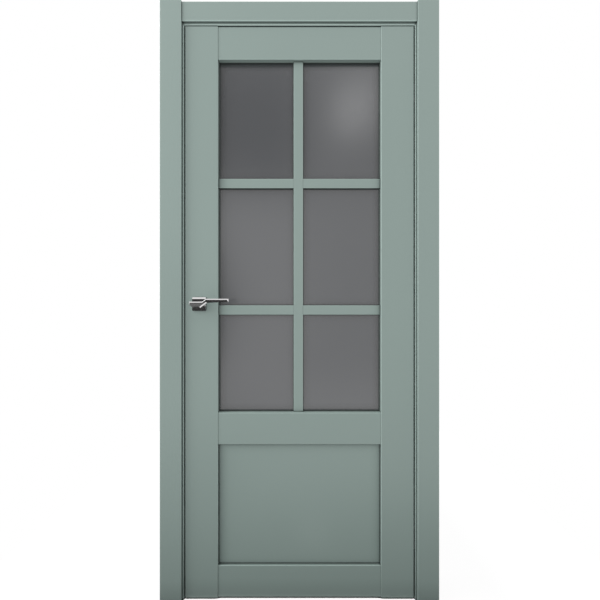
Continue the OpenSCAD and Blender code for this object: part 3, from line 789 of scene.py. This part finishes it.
@dataclass
class Hardware:
    """Screws of hinges, lock, strike, frame and levers, in millimetres.

    Attributes:
        jamb_face: Distance of the jambs' inner faces from the middle.
        leaf_face: Distance of the leaf's edges from the middle.
        hinge_levels: Heights of the two hinges.
        hinge_pitch: Distance of a hinge's screws from its middle.
        hinge_y: Place of the hinges' screws in the depth.
        hinge_screw: Diameter and length of a hinge's screw.
        lock_z: Height of the lock's middle.
        lock_pitch: Distance of the lock's screws from its middle.
        strike_z: Height of the strike's middle.
        strike_pitch: Distance of the strike's screws from its middle.
        lock_screw: Diameter and length of a screw of lock or strike.
        frame_x: Distance of the frame's corner screws' heads from the middle.
        frame_y: Places of those screws in the depth.
        frame_z: Height of those screws.
        frame_screw: Diameter and length of such a screw.
        spindle_x: Place of the levers' spindle.
        grub_y: Distance of the levers' grub screws from the middle.
        grub_z: Height of their lower ends.
        grub_screw: Diameter and length of a grub screw.
    """

    jamb_face: float = 404.0
    leaf_face: float = 400.0
    hinge_levels: Pair = (1788.0, 228.0)
    hinge_pitch: float = 50.0
    hinge_y: float = -4.42
    hinge_screw: Pair = (4.0, 30.0)
    lock_z: float = 1046.67
    lock_pitch: float = 63.0
    strike_z: float = 1068.0
    strike_pitch: float = 38.0
    lock_screw: Pair = (4.0, 25.0)
    frame_x: float = 438.0
    frame_y: Pair = (0.0, 42.0)
    frame_z: float = 2029.0
    frame_screw: Pair = (5.0, 80.0)
    spindle_x: float = -349.0
    grub_y: float = 46.0
    grub_z: float = 1027.0
    grub_screw: Pair = (5.0, 4.4)

    def rows(self) -> list[Screws]:
        """Lists the screws of each node.

        Returns:
            One row of screws for each node.
        """
        to_hinge, to_lock, up = (1.0, 0.0, 0.0), (-1.0, 0.0, 0.0), (0.0, 0.0, 1.0)
        levels = [z + off for z in self.hinge_levels for off in (self.hinge_pitch, -self.hinge_pitch)]
        in_jamb = [(self.jamb_face, self.hinge_y, z) for z in levels]
        in_leaf = [(self.leaf_face, self.hinge_y, z) for z in levels]
        lock = [(-self.leaf_face, 0.0, self.lock_z + off) for off in (self.lock_pitch, -self.lock_pitch)]
        offs = (self.strike_pitch, -self.strike_pitch)
        strike = [(-self.jamb_face, 0.0, self.strike_z + off) for off in offs]
        outer = [(side * self.frame_x, y, self.frame_z) for side in (-1, 1) for y in self.frame_y]
        inward = [to_hinge, to_hinge, to_lock, to_lock]
        grubs = [(self.spindle_x, y, self.grub_z) for y in (-self.grub_y, self.grub_y)]
        return [
            Screws("hinge_jamb_screws", "frame", in_jamb, [to_hinge] * 4, *self.hinge_screw),
            Screws("hinge_leaf_screws", "leaf", in_leaf, [to_lock] * 4, *self.hinge_screw),
            Screws("lock_screws", "leaf", lock, [to_hinge] * 2, *self.lock_screw),
            Screws("strike_screws", "frame", strike, [to_lock] * 2, *self.lock_screw),
            Screws("frame_screws", "frame", outer, inward, *self.frame_screw),
            Screws("grub_screws", "handle", grubs, [up] * 2, *self.grub_screw, Recess.HEXAGON, False),
        ]

    def build(self) -> None:
        """Builds every row of screws."""
        for screws in self.rows():
            LOG.info("%s", screws.build().name)


@dataclass
class DoorWoodwork:
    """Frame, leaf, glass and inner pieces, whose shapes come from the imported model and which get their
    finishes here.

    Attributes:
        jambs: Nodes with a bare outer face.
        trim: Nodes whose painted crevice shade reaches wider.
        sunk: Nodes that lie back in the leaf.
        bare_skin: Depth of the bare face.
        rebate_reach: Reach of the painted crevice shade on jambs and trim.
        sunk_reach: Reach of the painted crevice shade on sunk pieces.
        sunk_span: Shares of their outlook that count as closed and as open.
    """

    jambs: tuple[str, ...] = ("jamb_lock_side", "jamb_hinge_side", "jamb_head")
    trim: tuple[str, ...] = (
        "architrave_front_lock_side", "architrave_front_hinge_side", "architrave_front_head",
        "architrave_rear_lock_side", "architrave_rear_hinge_side", "architrave_rear_head", "bottom_rail",
    )
    sunk: tuple[str, ...] = (
        "lower_panel", "mullion", "bar_upper_lock_side", "bar_upper_hinge_side", "bar_lower_lock_side",
        "bar_lower_hinge_side",
    )
    bare_skin: float = 0.2 * MM
    rebate_reach: float = 10.0 * MM
    sunk_reach: float = 36.0 * MM
    sunk_span: Pair = (0.35, 0.98)

    def special_finishes(self) -> dict[str, PaintFinish]:
        """Lists the nodes whose paint differs from the rest.

        Returns:
            Finish of each such node.
        """
        bare_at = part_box("jamb_hinge_side")[1].x - self.bare_skin
        bare = PaintFinish("satin_paint_bare_back", bare_beyond=bare_at, crevice_reach=self.rebate_reach)
        trim = PaintFinish("satin_paint_trim", crevice_reach=self.rebate_reach)
        inner = PaintFinish("satin_paint_sunk", crevice_reach=self.sunk_reach, crevice_span=self.sunk_span)
        groups = ((self.jambs, bare), (self.trim, trim), (self.sunk, inner))
        return {node: finish for nodes, finish in groups for node in nodes}

    def dress(self) -> None:
        """Gives every node the finish of its slot, or its own."""
        special = self.special_finishes()
        for part in frame["record"]["subparts"]:
            node, slot = part["node"], Slot(part["material_slot"])
            piece = frame["nodes"][node]
            piece.data.materials.clear()
            piece.data.materials.append(dressed_in(slot, special.get(node)))
            LOG.info("%s: %s", node, slot.value)


@dataclass(frozen=True)
class Softbox:
    """Square lamp that lights evenly.

    Attributes:
        name: Name of the lamp.
        place: Middle of the lamp.
        side: Its side.
        power: Light in watts.
        aim: Point that it faces.
    """

    name: str
    place: Triple
    side: float
    power: float
    aim: Triple = (0.0, 0.0, 1.05)

    def build(self) -> None:
        """Adds the lamp."""
        data = bpy.data.lights.new(self.name, "AREA")
        data.shape = "SQUARE"
        data.size = self.side
        data.energy = self.power
        lamp = bpy.data.objects.new(self.name, data)
        lamp.location = self.place
        towards = Vector(self.aim) - Vector(self.place)
        lamp.rotation_euler = towards.to_track_quat("-Z", "Y").to_euler()
        bpy.context.scene.collection.objects.link(lamp)


def stage_flat(name: str, low: Triple, high: Triple) -> bpy.types.Object:
    """Adds an oblong piece of the stage.

    Args:
        name: Name of the piece.
        low: Its left near or lower corner.
        high: The corner across from that one.

    Returns:
        The new object.
    """
    corners = [low, (high[0], low[1], low[2]), high, (low[0], high[1], high[2])]
    mesh = bpy.data.meshes.new(name)
    mesh.from_pydata(corners, [], [(0, 1, 2, 3)])
    piece = bpy.data.objects.new(name, mesh)
    bpy.context.scene.collection.objects.link(piece)
    return piece


@dataclass(frozen=True)
class StudioCard:
    """Card that shows only as a reflection in metal and glass.

    Attributes:
        name: Name of the card.
        low: Its left near or lower corner.
        high: The corner across from that one.
        grey: Grey of the card.
        glow: Light of its own, where 1 is white.
        border: Width over which it fades out at its sides and its near edge.
    """

    name: str
    low: Triple
    high: Triple
    grey: float = 0.02
    glow: float = 0.0
    border: float = 0.0

    def build(self) -> None:
        """Adds the card."""
        card = stage_flat(self.name, self.low, self.high)
        shader = Shader(f"{self.name}_cloth")
        shader.dress(Base_Color=tone((self.grey,) * 3), Roughness=1.0)
        shader.dress(Emission_Color=WHITE, Emission_Strength=self.glow)
        if self.border > 0.0:
            shader.dress(Alpha=shader.patch(self.low, self.high, self.border))
        card.data.materials.append(shader.material)
        card.visible_camera = False
        card.visible_diffuse = False
        card.visible_transmission = False
        card.visible_shadow = False


LAMPS: tuple[Softbox, ...] = (
    Softbox("side_lamp", (-3.083, -0.544, 1.715), 1.6, 47.0),
    Softbox("high_side_lamp", (-3.018, -0.532, 3.621), 2.0, 53.2),
    Softbox("pane_lamp", (0.55, -1.8, 2.99), 0.4, 0.7),
)

FOOT_CARD = StudioCard("foot_card", (-1.15, -0.64, 0.002), (1.15, -0.03, 0.002), border=0.28)
CARDS: tuple[StudioCard, ...] = (
    StudioCard("high_left_card", (-1.4, -2.6, 2.5), (-0.02, -2.6, 4.4), grey=0.24),
    StudioCard("high_right_card", (-0.02, -2.6, 2.5), (1.4, -2.6, 4.4), grey=0.6),
    StudioCard("right_card", (0.0, -2.6, 0.0), (1.4, -2.6, 2.5), grey=0.9),
    StudioCard("handle_card", (-2.6, -2.6, 0.3), (-1.1, -2.6, 1.7)),
    StudioCard("grip_card", (-1.1, -2.6, 1.0), (-0.8, -2.6, 1.12)),
    StudioCard("block_card", (-1.6, -2.59, 0.965), (-1.18, -2.59, 1.012), grey=0.16),
    StudioCard("side_card", (-1.6, 0.15, 0.1), (-0.7, 0.15, 0.9), grey=0.1),
    FOOT_CARD,
    StudioCard("floor_card", (-1.1, -1.2, 0.003), (-0.3, -0.5, 0.003)),
    StudioCard("bounce_card", (0.0, -0.34, 0.004), (0.12, -0.22, 0.004), glow=1.0),
)


def seen_directly(tree: bpy.types.NodeTree) -> Socket:
    """Tells light that is seen from light that falls on a surface.

    Args:
        tree: Node tree of a material or of the world.

    Returns:
        A value of 1 for light that the eye, a mirror or clear glass sees, and 0 for other light.
    """
    path = tree.nodes.new("ShaderNodeLightPath")
    value = path.outputs["Is Camera Ray"]
    for name in ("Is Glossy Ray", "Is Transmission Ray"):
        either = tree.nodes.new("ShaderNodeMath")
        either.operation = "MAXIMUM"
        tree.links.new(value, either.inputs[0])
        tree.links.new(path.outputs[name], either.inputs[1])
        value = either.outputs[0]
    return value


@dataclass
class Studio:
    """Camera, lamps, cards, white surroundings and a pale floor.

    Attributes:
        eye: Place of the camera.
        focal_pixels: Focal length in pixels of the picture.
        frame_pixels: Side of the picture in pixels.
        sensor: Width of the camera's sensor in millimetres.
        near_clip: Nearest distance that the camera sees.
        ambient: Strength of the soft light from all sides.
        floor_side: Side of the floor.
        floor_grey: Grey of the floor under the lamps.
        floor_glow: Share of plain white in what is seen of the floor, which keeps a shadow beside it.
        floor_white: Strength of that white.
        floor_border: Width over which the floor goes over into the surroundings.
        contact_reach: Distance within which the door darkens the floor under it.
        contact_span: Shares of the outlook that count as closed and as open there.
        contact_shade: Shade of the floor there.
        contact_samples: Directions that are tried there.
    """

    eye: Triple = (0.0018, -0.970, 1.050)
    focal_pixels: float = 271.32
    frame_pixels: float = 600.0
    sensor: float = 36.0
    near_clip: float = 0.01
    ambient: float = 0.793
    floor_side: float = 2.4
    floor_grey: float = 0.45
    floor_glow: float = 0.86
    floor_white: float = 1.09
    floor_border: float = 0.5
    contact_reach: float = 16.0 * MM
    contact_span: Pair = (0.415, 0.465)
    contact_shade: float = 0.12
    contact_samples: int = 64

    def camera(self) -> None:
        """Adds the camera, level and square to the door."""
        data = bpy.data.cameras.new("camera")
        data.sensor_width = self.sensor
        data.lens = self.focal_pixels / self.frame_pixels * self.sensor
        data.clip_start = self.near_clip
        camera = bpy.data.objects.new("camera", data)
        camera.location = self.eye
        camera.rotation_euler = (math.pi / 2, 0.0, 0.0)
        bpy.context.scene.collection.objects.link(camera)
        bpy.context.scene.camera = camera

    def surroundings(self) -> None:
        """White where it is seen, and an even soft light where it falls on the door."""
        world = bpy.data.worlds.new("surroundings")
        world.use_nodes = True
        tree = world.node_tree
        back = tree.nodes["Background"]
        back.inputs["Color"].default_value = WHITE
        strength = tree.nodes.new("ShaderNodeMapRange")
        strength.inputs["To Min"].default_value = self.ambient
        strength.inputs["To Max"].default_value = 1.0
        tree.links.new(seen_directly(tree), strength.inputs["Value"])
        tree.links.new(strength.outputs["Result"], back.inputs["Strength"])
        bpy.context.scene.world = world

    def ground(self, shader: Shader, unshaded: Socket) -> Socket:
        """Colour of the floor under the lamps.

        Args:
            shader: The floor's material in work.
            unshaded: How open the floor lies.

        Returns:
            The floor's grey, darker under the door; to light that goes on to the door, the floor in
            front of it is dark.
        """
        grey = (self.floor_grey,) * 3
        # Painted shadow: the floor's grey is painted darker under the door.
        floor = shader.mixed(unshaded, shaded(grey, self.contact_shade), tone(grey))
        lighting = shader.add("ShaderNodeLightPath").outputs["Is Diffuse Ray"]
        patch = shader.patch(FOOT_CARD.low, FOOT_CARD.high, FOOT_CARD.border)
        return shader.mixed(shader.math("MULTIPLY", lighting, patch), floor, tone((FOOT_CARD.grey,) * 3))

    def floor(self) -> None:
        """Adds a pale floor that is white to the eye apart from a soft shadow."""
        half = self.floor_side / 2
        floor = stage_flat("floor", (-half, -half, 0.0), (half, half, 0.0))
        shader = Shader("pale_floor")
        aside = [shader.math("ABSOLUTE", shader.along(axis)) for axis in "XY"]
        outward = shader.math("MAXIMUM", *aside)
        open_glow = shader.ranged(outward, self.floor_glow, 1.0, (half - self.floor_border, half))
        # Painted shadow: the floor is painted darker where the door stands close over it.
        unshaded = shader.outlook(self.contact_reach, self.contact_span, self.contact_samples)
        white = shader.math("MULTIPLY", unshaded, open_glow)
        share = shader.math("MULTIPLY", white, seen_directly(shader.tree))
        matt = shader.add("ShaderNodeBsdfDiffuse", Color=self.ground(shader, unshaded))
        glow = shader.add("ShaderNodeEmission", Strength=self.floor_white)
        both = shader.add("ShaderNodeMixShader", Fac=share)
        shader.feed(both.inputs[1], matt.outputs["BSDF"])
        shader.feed(both.inputs[2], glow.outputs["Emission"])
        shader.feed(shader.tree.nodes["Material Output"].inputs["Surface"], both.outputs["Shader"])
        shader.tree.nodes.remove(shader.surface)
        floor.data.materials.append(shader.material)

    def build(self) -> None:
        """Sets the stage."""
        self.camera()
        self.surroundings()
        self.floor()
        for thing in (*LAMPS, *CARDS):
            thing.build()
            LOG.info("%s", thing.name)
        bpy.context.scene.view_settings.view_transform = "Standard"


def main() -> None:
    """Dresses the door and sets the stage."""
    logging.basicConfig(level=logging.INFO, format="%(name)s: %(message)s")
    DoorWoodwork().dress()
    Hardware().build()
    Studio().build()


if __name__ == "__main__":
    main()
